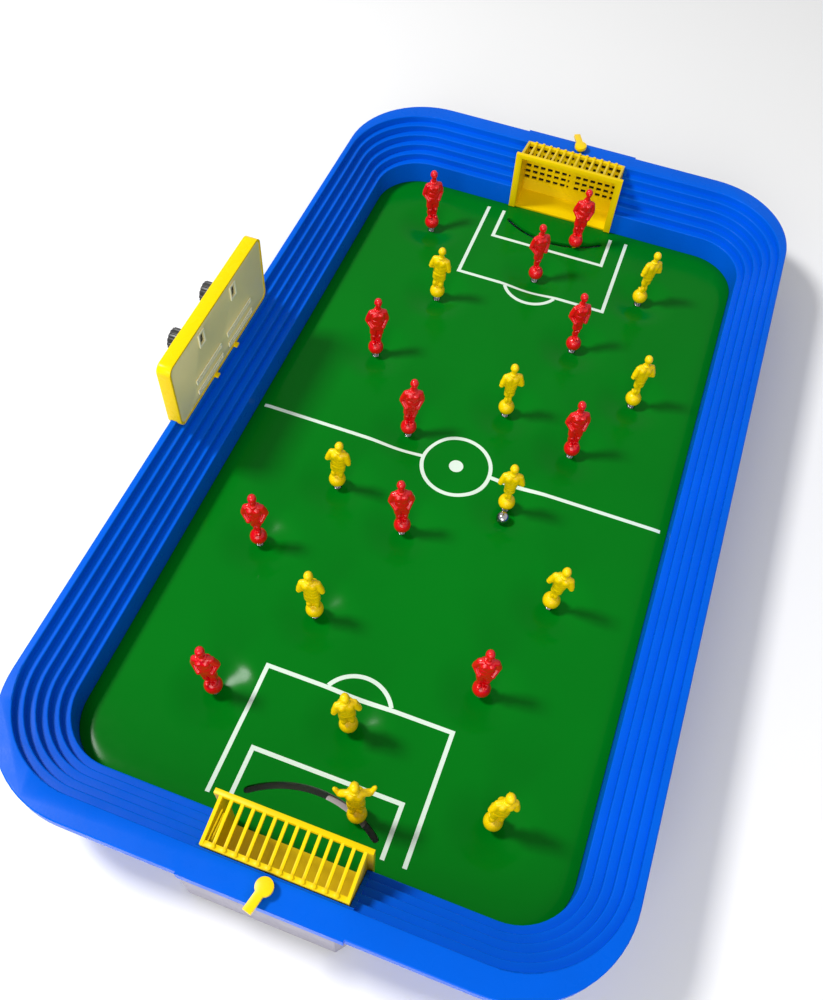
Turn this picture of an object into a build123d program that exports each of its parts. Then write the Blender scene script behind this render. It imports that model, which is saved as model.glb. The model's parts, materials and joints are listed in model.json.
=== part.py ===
"""Table-top football game: a terraced stadium tray, a dimpled pitch with spring-mounted players,
two goals with lever-worked keepers, a clip-on scoreboard and a steel ball.

Millimetres. X across the pitch, Y along it, Z up. The origin is the middle of the pitch in plan,
on the table top.
"""
import os
from math import cos, radians, sin

from build123d import *

os.makedirs("parts", exist_ok=True)

# ---- heights above the table ------------------------------------------------------------------
FOOT = 1.5            # rubber feet
PITCH_TOP = 18.0      # flat playing surface
FIRST_TREAD = 33.0    # lowest terrace
STEP_UP = 4.62        # rise of each terrace
STEPS = 5             # terraces below the rim
RIM_TOP = FIRST_TREAD + STEPS * STEP_UP
LIP_DROP = 8.0        # how far the rim is turned down outside

# ---- plan sizes, as half widths and half lengths --------------------------------------------------
WALL_X = 129.3        # inner wall round the pitch
WALL_Y = 237.0
WALL_R = 31.0
STEP_X = 4.1          # going of each terrace, along the sides
STEP_Y = 4.43         # and at the ends
RIM_X = 153.6         # outer edge of the rim
RIM_Y = 271.6
RIM_R = 56.0
SHELL = 2.0           # moulding thickness

# ---- pitch ------------------------------------------------------------------------------------------
PITCH_GAP = 0.3
PITCH_T = 2.2
DIMPLE_R = 26.5
DIMPLE_DEEP = 4.3
SPRING_HOLE_R = 2.6
SPRING_R = 1.8        # mean coil radius
SPRING_WIRE_R = 0.28
SPRING_BOTTOM = 9.5
SPRING_TOP = 18.6
SPRING_TURNS = 8

# ---- players ------------------------------------------------------------------------------------------
# where the yellow team stands; the red team stands half a turn round the centre spot
PLACES = [
    (83.6, -192.8), (0.5, -172.4), (77.8, -67.6), (-40.6, -119.4), (36.0, -15.1),
    (-61.6, -36.6), (15.2, 52.1), (87.8, 88.9), (71.8, 178.0), (-57.6, 130.2),
]
# how each stands at rest, in degrees: leaning towards +X, leaning towards +Y, turned
STANCES = {
    "yellow": [
        (5, 2, 25), (-1, -3, 30), (4, -4, 0), (-2, -2, 15), (1, -5, 15),
        (5, -5, 5), (1, -2, 25), (1, -2, 30), (4, -2, 40), (3, -5, 0),
    ],
    "red": [
        (-2, 3, 35), (-1, 0, 40), (1, 2, 30), (-1, 4, 35), (2, 3, 25),
        (-2, 2, 25), (-3, 0, 25), (0, -1, 20), (-3, 0, 15), (0, 2, 15),
    ],
}
FEET_TOGETHER = {"yellow": (3, 5, 7, 8, 9), "red": (2, 4, 8)}
BALL_R = 4.9          # ball each player stands on
BALL_UP = 3.4         # its centre above the pitch
KEEPER_BALL_UP = 5.6
STEEL_BALL_R = 3.9
STEEL_BALL_AT = (37.0, -25.4)

# ---- keeper levers --------------------------------------------------------------------------------------
PIVOT_Y = 264.5       # lever pivot from the middle of the pitch
LEVER_R = 55.7        # pivot to keeper
SLOT_HALF_ANGLE = 37.0
SLOT_W = 3.6
NEAR_ANGLE = -22.5    # how the two levers are turned at rest
FAR_ANGLE = 18.0
HUB_Z0 = 9.3          # the arm under the pitch, lower and upper face
HUB_Z1 = 11.9
SHAFT_R = 2.0         # upright shaft through the rim
SHAFT_FLAT = 1.4      # flat on its lower end, from the axis
DISC_R = 4.1          # disc and finger arm on top of the shaft
DISC_Z = 58.3
DISC_T = 2.4
FINGER = 12.0
FINGER_TURN = 9.0     # the finger arm stands a little off the line of the lever
BAY_X = 39.0          # shallow bay in the rim round each lever
BAY_OUT = 1.0

# ---- goals ------------------------------------------------------------------------------------------------
GOAL_X = 37.8         # front frame
NET_X = 35.0          # the box behind it
GOAL_SHIFT = 0.9      # each goal sits a little off the middle
GOAL_FRONT = 234.5
GOAL_DEEP = 23.5
GOAL_FRONT_H = 45.0
GOAL_BACK_H = 40.0

# ---- scoreboard ------------------------------------------------------------------------------------
BOARD_Y = 56.0
BOARD_FRONT = -147.0
BOARD_BACK = -155.4
BOARD_BOTTOM = FIRST_TREAD + 4 * STEP_UP + 0.1
BOARD_TOP = 99.6
DIAL_Y = (-21.0, 18.0)
DIAL_Z = 82.5
DIAL_R = 13.0
KNOB_R = 6.4


def save(builder, label):
    """Name the finished piece and write it out."""
    builder.part.label = label
    export_step(builder.part, f"parts/{label}.step")


def box_between(x0, x1, y0, y1, z0, z1, mode=Mode.ADD):
    """A plain block given by its two corners."""
    with Locations(((x0 + x1) / 2, (y0 + y1) / 2, (z0 + z1) / 2)):
        Box(abs(x1 - x0), abs(y1 - y0), abs(z1 - z0), mode=mode)


def ring(outer, inner, z0, z1):
    """A rounded rectangular band; outer and inner are (half x, half y, radius)."""
    with BuildSketch(Plane.XY.offset(z0)) as band:
        RectangleRounded(2 * outer[0], 2 * outer[1], outer[2])
        RectangleRounded(2 * inner[0], 2 * inner[1], inner[2], mode=Mode.SUBTRACT)
    extrude(band.sketch, amount=z1 - z0)


def terrace(k, grow=0.0):
    """Plan outline of the lip of terrace k (0 is the lowest, STEPS is the rim)."""
    return (WALL_X + k * STEP_X + grow, WALL_Y + k * STEP_Y + grow, WALL_R + k * STEP_X + grow)


def tread_z(k):
    return FIRST_TREAD + k * STEP_UP


# ================================ stadium tray ====================================================
NOTCH_X = NET_X + 0.4
NOTCH_BACK = GOAL_FRONT + GOAL_DEEP + 0.4
SHELF_Z = PITCH_TOP - PITCH_T     # level on which the pitch and the goals lie

with BuildPart() as stadium_frame:
    # base wall and inner wall in one, from just above the table to the first tread
    ring(terrace(0, SHELL), terrace(0), FOOT, tread_z(0))
    # ledge that carries the pitch
    ring(terrace(0, 1.0), terrace(0, -4.0), SHELF_Z - SHELL, SHELF_Z)
    # five treads with their risers
    for k in range(STEPS):
        ring(terrace(k + 1, SHELL), terrace(k), tread_z(k) - SHELL, tread_z(k))
        ring(terrace(k + 1, SHELL), terrace(k + 1), tread_z(k) - SHELL, tread_z(k + 1))
    # flat rim and its turned-down edge
    rim = (RIM_X, RIM_Y, RIM_R)
    rim_inside = (RIM_X - SHELL, RIM_Y - SHELL, RIM_R - SHELL)
    ring(rim, terrace(STEPS), RIM_TOP - SHELL, RIM_TOP)
    ring(rim, rim_inside, RIM_TOP - LIP_DROP, RIM_TOP)
    # soft edges on every lip and round the rim
    lips = []
    for edge in stadium_frame.edges():
        for k in range(STEPS + 1):
            level = abs(edge.center().Z - tread_z(k)) < 0.01
            line = any(
                abs(abs(v.X) - terrace(k)[0]) < 0.05 or abs(abs(v.Y) - terrace(k)[1]) < 0.05
                for v in edge.vertices()
            )
            if level and line:
                lips.append(edge)
        if abs(edge.center().Z - RIM_TOP) < 0.01 and any(
            abs(abs(v.X) - RIM_X) < 0.05 or abs(abs(v.Y) - RIM_Y) < 0.05 for v in edge.vertices()
        ):
            lips.append(edge)
    fillet(lips, radius=0.7)
    # gussets under the terraces, along both sides and both ends
    side_rib = [(131.0, 6.0), (131.0, 30.0), (152.0, 50.5), (152.0, 47.5)]
    end_rib = [(238.7, 6.0), (238.7, 30.0), (262.0, 50.8), (262.0, 46.5)]
    for y in (-190, -114, -38, 38, 114, 190):
        for turn in (0, 180):
            with BuildSketch(Plane.XZ.offset(-y)):
                Polygon(*[(-u if turn else u, v) for u, v in side_rib], align=None)
            extrude(amount=0.9, both=True)
    for x in (-88, -52, 52, 88):
        for turn in (0, 180):
            with BuildSketch(Plane.YZ.offset(x)):
                Polygon(*[(-u if turn else u, v) for u, v in end_rib], align=None)
            extrude(amount=0.9, both=True)
    for side in (-1, 1):
        # shallow bay in the rim in front of each lever
        with BuildSketch(Plane.XY.offset(RIM_TOP - LIP_DROP)):
            with Locations((0, side * (RIM_Y - 0.4))):
                Rectangle(2 * BAY_X, 2 * (BAY_OUT + 0.4))
        extrude(amount=LIP_DROP - 0.01)
        bay_back = side * (RIM_Y + BAY_OUT - SHELL)
        box_between(-BAY_X + SHELL, BAY_X - SHELL, side * (RIM_Y - SHELL - 4), bay_back,
                    RIM_TOP - LIP_DROP, RIM_TOP - SHELL, Mode.SUBTRACT)
        # notch for the goal, lined with a floor, two cheeks and a back
        y_in = side * (WALL_Y - 4.0)
        y_out = side * NOTCH_BACK
        left = -side * GOAL_SHIFT - NOTCH_X
        right = -side * GOAL_SHIFT + NOTCH_X
        box_between(left, right, y_in, y_out, SHELF_Z, RIM_TOP + 5, Mode.SUBTRACT)
        box_between(left - SHELL, right + SHELL, y_in, y_out + side * SHELL, SHELF_Z - SHELL, SHELF_Z)
        box_between(left - SHELL, right + SHELL, y_out, y_out + side * SHELL, SHELF_Z, RIM_TOP - 1)
        for x in (left - SHELL / 2, right + SHELL / 2):
            with BuildSketch(Plane.YZ.offset(x)):
                Polygon(
                    (side * WALL_Y, SHELF_Z - 1), (side * WALL_Y, 31.0), (side * 241.4, 36.4),
                    (side * 250.3, 45.4), (side * 259.3, 54.6), (side * 259.3, SHELF_Z - 1), align=None,
                )
            extrude(amount=SHELL / 2, both=True)
        for x in (-30.0, 30.0):
            with Locations((x - side * GOAL_SHIFT, side * 250.0, SHELF_Z - SHELL / 2)):
                Cylinder(1.0, 6, mode=Mode.SUBTRACT)
        # window in the base wall for the lever
        box_between(-25, 25, side * (WALL_Y - 1), side * (WALL_Y + 4), 3.5, 13.0, Mode.SUBTRACT)
        # bearing tube through the rim for the lever's shaft
        with BuildSketch(Plane.XY.offset(HUB_Z1 + 0.3)):
            with Locations((0, side * PIVOT_Y)):
                Circle(3.8)
        extrude(amount=RIM_TOP - SHELL - HUB_Z1 + 0.2)
        with Locations((0, side * PIVOT_Y, 40.0)):
            Cylinder(SHAFT_R + 0.06, 80, mode=Mode.SUBTRACT)
    # bosses that take the pitch screws, on the ledge
    for x, y in [(sx * 124.0, y) for sx in (-1, 1) for y in (-150, 0, 150)]:
        with Locations((x, y, SHELF_Z - 4.0)):
            Cylinder(3.4, 5)
            Cylinder(1.35, 12, mode=Mode.SUBTRACT)
save(stadium_frame, "stadium_frame")


# ================================ pitch ============================================================
def everyone():
    """Feet of all twenty field players: the yellow team, then the red team."""
    return PLACES + [(-x, -y) for x, y in PLACES]


def dish(radius, deep, top):
    """A round dip under the level `top` that levels out at its rim and its middle, as a loose solid."""
    with BuildPart(mode=Mode.PRIVATE) as lens:
        with BuildSketch(Plane.XZ) as half:
            with BuildLine():
                Spline(
                    (radius, 0), (radius * 0.5, -deep * 0.52), (0, -deep),
                    tangents=((-1.0, -0.04), (-1.0, 0)),
                )
                Polyline((0, -deep), (0, 1.0), (radius, 1.0), (radius, 0))
            make_face()
        revolve(half.sketch, axis=Axis.Z)
    return Pos(0, 0, top) * lens.part


with BuildPart() as pitch_plate:
    outline = terrace(0, -PITCH_GAP)
    with BuildSketch(Plane.XY.offset(PITCH_TOP - PITCH_T)):
        RectangleRounded(2 * outline[0], 2 * outline[1], outline[2])
    extrude(amount=PITCH_T)
    # bulges below and bosses for the spring seats
    bulge = dish(DIMPLE_R + 1.5, DIMPLE_DEEP, PITCH_TOP - PITCH_T)
    hollow = dish(DIMPLE_R, DIMPLE_DEEP, PITCH_TOP)
    spots = [(x, y, 0) for x, y in everyone()]
    boss_high = PITCH_TOP - PITCH_T - SPRING_BOTTOM - 1.0
    with Locations(*spots):
        add(bulge)
        with Locations((0, 0, SPRING_BOTTOM - 1.0)):
            Cylinder(4.2, boss_high, align=(Align.CENTER, Align.CENTER, Align.MIN))
    with Locations(*spots):
        add(hollow, mode=Mode.SUBTRACT)
    with Locations(*spots):
        with Locations((0, 0, SPRING_BOTTOM)):
            Cylinder(SPRING_HOLE_R, 12, mode=Mode.SUBTRACT, align=(Align.CENTER, Align.CENTER, Align.MIN))
        with Locations((0, 0, SPRING_BOTTOM - 2)):
            Cylinder(3.0, 2.6, mode=Mode.SUBTRACT, align=(Align.CENTER, Align.CENTER, Align.MIN))
    # keeper slots, curved round the lever pivots
    for side in (-1, 1):
        with BuildSketch(Plane.XY.offset(PITCH_TOP - PITCH_T - 1)):
            start = (90 if side < 0 else 270) - SLOT_HALF_ANGLE
            with BuildLine(mode=Mode.PRIVATE) as run:
                CenterArc((0, side * PIVOT_Y), LEVER_R, start, 2 * SLOT_HALF_ANGLE)
            SlotArc(run.line.edge(), SLOT_W)
        extrude(amount=PITCH_T + 2, mode=Mode.SUBTRACT)
    # holes for the screws
    with Locations(*[(sx * 124.0, y, PITCH_TOP - 2) for sx in (-1, 1) for y in (-150, 0, 150)]):
        Cylinder(1.0, 3.0, mode=Mode.SUBTRACT)
    # middle boss that rests on the centre foot
    with Locations((0, 0, 8.0)):
        Cylinder(6.0, PITCH_TOP - PITCH_T - 8.0 + 0.5, align=(Align.CENTER, Align.CENTER, Align.MIN))
save(pitch_plate, "pitch_plate")


# ================================ springs and their seats ===========================================
def coil():
    """One kick spring, wound upwards from its seat."""
    height = SPRING_TOP - SPRING_BOTTOM
    with BuildPart(mode=Mode.PRIVATE) as winding:
        with BuildLine() as path:
            Helix(pitch=(height - 2 * SPRING_WIRE_R) / SPRING_TURNS, height=height - 2 * SPRING_WIRE_R,
                  radius=SPRING_R)
        start = path.line @ 0
        with BuildSketch(Plane(origin=start, z_dir=path.line % 0)) as wire:
            Circle(SPRING_WIRE_R)
        sweep(wire.sketch, path=path.line, is_frenet=True)
    return Pos(0, 0, SPRING_BOTTOM + SPRING_WIRE_R) * winding.part


one_coil = coil()
for team, sign in (("yellow", 1), ("red", -1)):
    with BuildPart() as springs:
        with Locations(*[(sign * x, sign * y, 0) for x, y in PLACES]):
            add(one_coil)
    save(springs, f"{team}_springs")

with BuildPart() as spring_seats:
    with Locations(*[(x, y, 0) for x, y in everyone()]):
        with Locations((0, 0, SPRING_BOTTOM - 2.8)):
            Cylinder(4.2, 1.8, align=(Align.CENTER, Align.CENTER, Align.MIN))
        with Locations((0, 0, SPRING_BOTTOM - 1.0)):
            Cylinder(2.95, 1.0, align=(Align.CENTER, Align.CENTER, Align.MIN))
save(spring_seats, "spring_seats")


# ================================ screws and feet ====================================================
def screw(head_r, head_h, shaft_r, length):
    """A pan-head screw pointing up, head underneath, the head's top at zero; a slot across the head."""
    with BuildPart(mode=Mode.PRIVATE) as body:
        with Locations((0, 0, -head_h)):
            Cylinder(head_r, head_h, align=(Align.CENTER, Align.CENTER, Align.MIN))
        fillet(body.edges().group_by(Axis.Z)[0], radius=head_h * 0.4)
        Cylinder(shaft_r, length, align=(Align.CENTER, Align.CENTER, Align.MIN))
        with Locations((0, 0, -head_h)):
            Box(head_r * 1.5, 0.6, head_h * 0.9, mode=Mode.SUBTRACT)
    return body.part


with BuildPart() as pitch_screws:
    small = screw(2.6, 1.6, 0.95, 8.0)
    with Locations(*[(sx * 124.0, y, SHELF_Z - 6.5) for sx in (-1, 1) for y in (-150, 0, 150)]):
        add(small)
save(pitch_screws, "pitch_screws")

with BuildPart() as goal_screws:
    short = screw(2.6, 1.4, 0.95, 3.4)
    spots = [
        (x - side * GOAL_SHIFT, side * 250.0, SHELF_Z - SHELL) for side in (-1, 1) for x in (-30.0, 30.0)
    ]
    with Locations(*spots):
        add(short)
save(goal_screws, "goal_screws")

for label, side in (("near_pivot_screw", -1), ("far_pivot_screw", 1)):
    with BuildPart() as pivot_screw:
        with Locations((0, side * PIVOT_Y, HUB_Z0)):
            add(screw(3.4, 1.5, 0.85, 8.0))
    save(pivot_screw, label)

with BuildPart() as rubber_feet:
    # grips pushed on the bottom edge of the base wall
    middle = SHELL / 2
    on_sides = [(sx * (WALL_X + middle), sy * 150.0, 0) for sx in (-1, 1) for sy in (-1, 1)]
    on_ends = [(sx * 75.0, sy * (WALL_Y + middle), 0) for sx in (-1, 1) for sy in (-1, 1)]
    low = (Align.CENTER, Align.CENTER, Align.MIN)
    with Locations(*on_sides):
        Box(5.6, 26.0, 5.0, align=low)
        with Locations((0, 0, FOOT)):
            Box(SHELL + 0.04, 30.0, 5.0, align=low, mode=Mode.SUBTRACT)
    with Locations(*on_ends):
        Box(26.0, 5.6, 5.0, align=low)
        with Locations((0, 0, FOOT)):
            Box(30.0, SHELL + 0.04, 5.0, align=low, mode=Mode.SUBTRACT)
save(rubber_feet, "rubber_feet")

with BuildPart() as centre_foot:
    Cylinder(11.0, 2.0, align=(Align.CENTER, Align.CENTER, Align.MIN))
    Cylinder(8.5, 10.0, align=(Align.CENTER, Align.CENTER, Align.MIN))
    with Locations((0, 0, 8.0)):
        Cylinder(6.03, 4.0, mode=Mode.SUBTRACT, align=(Align.CENTER, Align.CENTER, Align.MIN))
save(centre_foot, "centre_foot")


# ================================ goals ==============================================================
with BuildPart() as goal:
    back = GOAL_FRONT + GOAL_DEEP
    z0 = PITCH_TOP
    # floor on its shelf, let down to the level of the pitch
    box_between(-NET_X, NET_X, WALL_Y, back, SHELF_Z, z0)
    for side in (-1, 1):
        # cheek and front post
        with BuildSketch(Plane.YZ.offset(side * (NET_X - 0.8))):
            Polygon((GOAL_FRONT, z0), (GOAL_FRONT, z0 + GOAL_FRONT_H), (back, z0 + GOAL_BACK_H), (back, z0),
                    align=None)
        extrude(amount=0.8, both=True)
        box_between(side * (NET_X - 1.0), side * GOAL_X, GOAL_FRONT, GOAL_FRONT + 2.2,
                    z0, z0 + GOAL_FRONT_H)
    # three long slits in one cheek
    for z in (22.0, 28.0, 34.0):
        box_between(NET_X - 3, NET_X + 1, GOAL_FRONT + 5, back - 3.0,
                    z0 + z - 1.5, z0 + z + 1.5, Mode.SUBTRACT)
    # crossbar, back rail and back wall
    box_between(-GOAL_X, GOAL_X, GOAL_FRONT, GOAL_FRONT + 2.4, z0 + GOAL_FRONT_H - 3.2, z0 + GOAL_FRONT_H)
    box_between(-NET_X, NET_X, back - 2.4, back, z0 + GOAL_BACK_H - 2.4, z0 + GOAL_BACK_H)
    box_between(-NET_X, NET_X, back - 1.5, back, z0, z0 + GOAL_BACK_H)
    # net holes in the back wall: six rows, six columns each side of a plain middle strip
    with BuildSketch(Plane.XZ.offset(-(back + 1))):
        with Locations(*[
            (side * (5.2 + col * 5.3), z0 + 11.7 + row * 4.8)
            for side in (-1, 1) for col in range(6) for row in range(6)
        ]):
            Rectangle(3.5, 2.7)
        with Locations(*[(-1.3, z0 + 11.7 + row * 4.8) for row in range(6)]):
            Rectangle(1.4, 2.3)
    extrude(amount=4, mode=Mode.SUBTRACT)
    # roof bars with a bead where each meets the back rail
    pitch = 2 * (NET_X - 0.8) / 13
    for n in range(1, 13):
        x = -(NET_X - 0.8) + n * pitch
        with BuildSketch(Plane.YZ.offset(x)):
            Polygon(
                (GOAL_FRONT + 1.5, z0 + GOAL_FRONT_H - 0.3), (back - 1.2, z0 + GOAL_BACK_H + 0.1),
                (back - 1.2, z0 + GOAL_BACK_H - 1.7), (GOAL_FRONT + 1.5, z0 + GOAL_FRONT_H - 2.1), align=None,
            )
        extrude(amount=0.75, both=True)
        with Locations((x, back - 1.2, z0 + GOAL_BACK_H + 0.2)):
            Cylinder(0.95, 1.8)
    # pilot holes for the screws
    with Locations((-30.0, 250.0, SHELF_Z), (30.0, 250.0, SHELF_Z)):
        Cylinder(1.0, 3.2, mode=Mode.SUBTRACT)

with BuildPart() as far_goal:
    add(Pos(-GOAL_SHIFT, 0, 0) * goal.part)
save(far_goal, "far_goal")

with BuildPart() as near_goal:
    add(Rot(0, 0, 180) * far_goal.part)
save(near_goal, "near_goal")


# ================================ keeper levers =====================================================
GUARD = (-48.5, 40.5)     # ends of the guard under the near lever
GUARD_Y = 270.4


with BuildPart() as lever:
    # flat arm under the pitch, its pivot at the origin, pointing along +Y to the keeper
    with BuildSketch(Plane.XY.offset(HUB_Z0)):
        Circle(4.2)
        with Locations((0, LEVER_R)):
            Circle(3.2)
        Polygon((-3.4, 0), (3.4, 0), (2.2, LEVER_R), (-2.2, LEVER_R), align=None)
        Circle(SHAFT_R, mode=Mode.SUBTRACT)
        with Locations((0, SHAFT_FLAT + 0.5)):
            Rectangle(3.6, 1.0)
    extrude(amount=HUB_Z1 - HUB_Z0)
    # pin through the slot
    with Locations((0, LEVER_R, HUB_Z1 - 0.5)):
        Cylinder(1.2, 11.2, align=(Align.CENTER, Align.CENTER, Align.MIN))

with BuildPart() as grip:
    # upright shaft with a flat where it enters the arm, a disc and a finger arm on top
    with Locations((0, 0, HUB_Z0)):
        Cylinder(SHAFT_R, DISC_Z - HUB_Z0 + 0.5, align=(Align.CENTER, Align.CENTER, Align.MIN))
    box_between(-3, 3, SHAFT_FLAT, 3, HUB_Z0 - 1, HUB_Z1, Mode.SUBTRACT)
    with BuildSketch(Plane.XY.offset(DISC_Z)):
        Circle(DISC_R)
        with PolarLocations(FINGER / 2, 1, start_angle=FINGER_TURN - 90):
            Rectangle(FINGER, 4.2)
    extrude(amount=DISC_T)
    with Locations((0, 0, HUB_Z0 - 1)):
        Cylinder(0.9, 13.0, mode=Mode.SUBTRACT, align=(Align.CENTER, Align.CENTER, Align.MIN))

for end, side, angle in (("near", -1, NEAR_ANGLE), ("far", 1, 180 + FAR_ANGLE)):
    for label, loose in ((f"{end}_lever", lever), (f"{end}_lever_grip", grip)):
        with BuildPart() as turned:
            add(Pos(0, side * PIVOT_Y, 0) * Rot(0, 0, angle) * loose.part)
        save(turned, label)

# curved plate on each lever that slides under the pitch and closes the slot beside the keeper
with BuildPart() as slide:
    with BuildSketch(Plane.XY.offset(HUB_Z1)):
        with BuildLine(mode=Mode.PRIVATE) as run:
            CenterArc((0, 0), LEVER_R, 88, 18)
        SlotArc(run.line.edge(), 6.0)
        with Locations((0, LEVER_R)):
            Circle(1.25, mode=Mode.SUBTRACT)
    extrude(amount=1.0)
for label, side, angle in (("near_slide", -1, NEAR_ANGLE), ("far_slide", 1, 180 + FAR_ANGLE)):
    with BuildPart() as turned:
        add(Pos(0, side * PIVOT_Y, 0) * Rot(0, 0, angle) * slide.part)
    save(turned, label)

with BuildPart() as guard:
    y0 = WALL_Y + SHELL + 0.1
    start, end = GUARD
    with BuildSketch(Plane.XY.offset(3.2)):
        Polygon(
            (start, -y0), (end, -y0), (end, -262.0), (end - 7, -GUARD_Y), (start + 7, -GUARD_Y),
            (start, -262.0), align=None,
        )
    extrude(amount=2.0)
    # skirt in front of the lever's shaft
    with BuildSketch(Plane.XY.offset(3.2)):
        Polygon(
            (start, -262.0), (start + 7, -GUARD_Y), (end - 7, -GUARD_Y), (end, -262.0),
            (end - 1.3, -262.0), (end - 7.5, -GUARD_Y + 1), (start + 7.5, -GUARD_Y + 1),
            (start + 1.3, -262.0), align=None,
        )
    extrude(amount=32.0)
    for x0, x1 in ((start, start + 13.0), (end - 13.0, end)):
        box_between(x0, x1, -y0, -(y0 + 1.6), 3.2, 13.0)
    for x0, x1 in ((start, start + 1.0), (end - 1.0, end)):
        box_between(x0, x1, -y0, -262.0, 3.2, 9.0)
for label, turn in (("near_lever_guard", 0), ("far_lever_guard", 180)):
    with BuildPart() as turned:
        add(Rot(0, 0, turn) * guard.part)
    save(turned, label)


# ================================ players ===========================================================
def limb(*points, radius=1.4):
    """A round limb through the given points, as a loose solid."""
    with BuildPart(mode=Mode.PRIVATE) as arm:
        for a, b in zip(points, points[1:]):
            a, b = Vector(*a), Vector(*b)
            with Locations(Plane(origin=a, z_dir=b - a).location):
                Cylinder(radius, (b - a).length, align=(Align.CENTER, Align.CENTER, Align.MIN))
        for p in points:
            with Locations(p):
                Sphere(radius)
    return arm.part


def stack(sections):
    """A smooth body lofted through ellipses given as (height, half width, half depth)."""
    with BuildPart(mode=Mode.PRIVATE) as body:
        rings = []
        for z, a, b in sections:
            with BuildSketch(Plane.XY.offset(z)) as cut:
                Ellipse(a, b)
            rings.append(cut.sketch.faces()[0])
        loft(rings)
    return body.part


def figure(arms_out=False, feet_together=False):
    """A player facing -Y, with the middle of the ball underfoot at the origin."""
    if feet_together:
        legs = [(2.5, 1.9, 1.8), (8.0, 1.7, 1.7), (13.0, 2.5, 2.3), (17.0, 3.2, 2.7)]
    else:
        legs = [(2.5, 3.0, 2.4), (8.0, 3.1, 2.4), (13.0, 3.6, 2.6), (17.0, 4.1, 2.8)]
    hip = 3.2 if feet_together else 4.0
    with BuildPart(mode=Mode.PRIVATE) as body:
        Sphere(BALL_R)
        add(stack(legs))
        add(stack([(11.8, hip - 0.2, 2.9), (15.0, hip, 3.1), (18.6, hip - 0.1, 2.9)]))
        add(stack([(18.0, 3.9, 2.8), (24.0, 4.2, 3.0), (30.0, 4.9, 3.1), (34.2, 2.8, 2.4)]))
        with Locations((0, 0, 33.0)):
            Cylinder(1.7, 4.0, align=(Align.CENTER, Align.CENTER, Align.MIN))
        with Locations((0, 0, 38.6)):
            Sphere(2.9)
        for side in (-1, 1):
            if arms_out:
                add(limb((side * 4.2, 0, 30.4), (side * 7.2, -0.6, 28.4), (side * 8.9, -1.6, 31.6)))
            else:
                add(limb((side * 4.2, 0, 30.4), (side * 6.0, 0.9, 23.6), (side * 4.0, -1.8, 19.8)))
    return body.part


def stand(body, x, y, z, lean_x, lean_y, turn, socket_r, socket_top):
    """Set a figure on its ball at x, y, z, leaning and turned; the socket below it stays upright."""
    add(Pos(x, y, z) * Rot(-lean_y, lean_x, 0) * Rot(0, 0, turn) * body)
    with Locations((x, y, z - BALL_R - 1)):
        Cylinder(socket_r, socket_top - z + BALL_R + 1, mode=Mode.SUBTRACT,
                 align=(Align.CENTER, Align.CENTER, Align.MIN))


for team, sign, facing in (("yellow", 1, 180), ("red", -1, 0)):
    for n, (x, y) in enumerate(PLACES, start=1):
        lean_x, lean_y, turn = STANCES[team][n - 1]
        body = figure(feet_together=n in FEET_TOGETHER[team])
        with BuildPart() as one_player:
            stand(body, sign * x, sign * y, PITCH_TOP + BALL_UP, lean_x, lean_y, facing + turn,
                  2.35, SPRING_TOP + 0.2)
        save(one_player, f"{team}_player_{n:02d}")

# the keepers: side, lever angle, then how each stands on its lever
for label, side, angle, stance, arms_out in (
    ("yellow_keeper", -1, NEAR_ANGLE, (-2, 1, 180 + 22), True),
    ("red_keeper", 1, 180 + FAR_ANGLE, (2, 6, 20), False),
):
    place = Pos(0, side * PIVOT_Y, 0) * Rot(0, 0, angle) * Pos(0, LEVER_R, 0)
    with BuildPart() as one_keeper:
        stand(figure(arms_out=arms_out), place.position.X, place.position.Y, PITCH_TOP + KEEPER_BALL_UP,
              *stance, 1.2, 22.7)
    save(one_keeper, label)

with BuildPart() as steel_ball:
    with Locations((*STEEL_BALL_AT, 19.15)):
        Sphere(STEEL_BALL_R)
save(steel_ball, "steel_ball")


# ================================ scoreboard ========================================================
MID_Z = (BOARD_BOTTOM + BOARD_TOP) / 2
HIGH = BOARD_TOP - BOARD_BOTTOM
RIM_SLOT = (-(RIM_X + 0.25), -(WALL_X + STEPS * STEP_X - 0.25))
CARD_Z = (67.0, 58.6)
CARD_Y = ((6.0, 34.5), (-33.0, -4.5))
WINDOW_Z = 90.6

with BuildPart() as scoreboard_housing:
    with BuildSketch(Plane.YZ.offset(BOARD_BACK)):
        with Locations((0, MID_Z)):
            RectangleRounded(2 * BOARD_Y, HIGH, 5.0)
    extrude(amount=BOARD_FRONT - BOARD_BACK)
    fillet(scoreboard_housing.edges().group_by(Axis.X)[0], radius=0.8)
    # seat for the face plate and the hollow behind it
    with BuildSketch(Plane.YZ.offset(BOARD_FRONT - 1.1)):
        with Locations((0, MID_Z)):
            RectangleRounded(2 * BOARD_Y - 2.6, HIGH - 2.6, 4.0)
    extrude(amount=3, mode=Mode.SUBTRACT)
    box_between(-153.8, BOARD_FRONT, -53.5, 53.5, 58.0, 97.6, Mode.SUBTRACT)
    # slot that drops over the rim, with clips behind and two toes in front
    box_between(*RIM_SLOT, -60, 60, BOARD_BOTTOM - 1, RIM_TOP + 0.25, Mode.SUBTRACT)
    for y in (-34.0, 34.0):
        box_between(BOARD_BACK, -(RIM_X + 0.25), y - 6, y + 6, 47.0, 60.0)
    for y in (-14.0, 11.5):
        box_between(-149.0, -144.8, y - 1.6, y + 1.6, BOARD_BOTTOM, BOARD_BOTTOM + 1.2)
    # bearings for the two dials
    for y in DIAL_Y:
        with Locations(Location((BOARD_BACK + 1, y, DIAL_Z), (0, 90, 0))):
            Cylinder(1.86, 12, mode=Mode.SUBTRACT)
save(scoreboard_housing, "scoreboard_housing")

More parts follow.
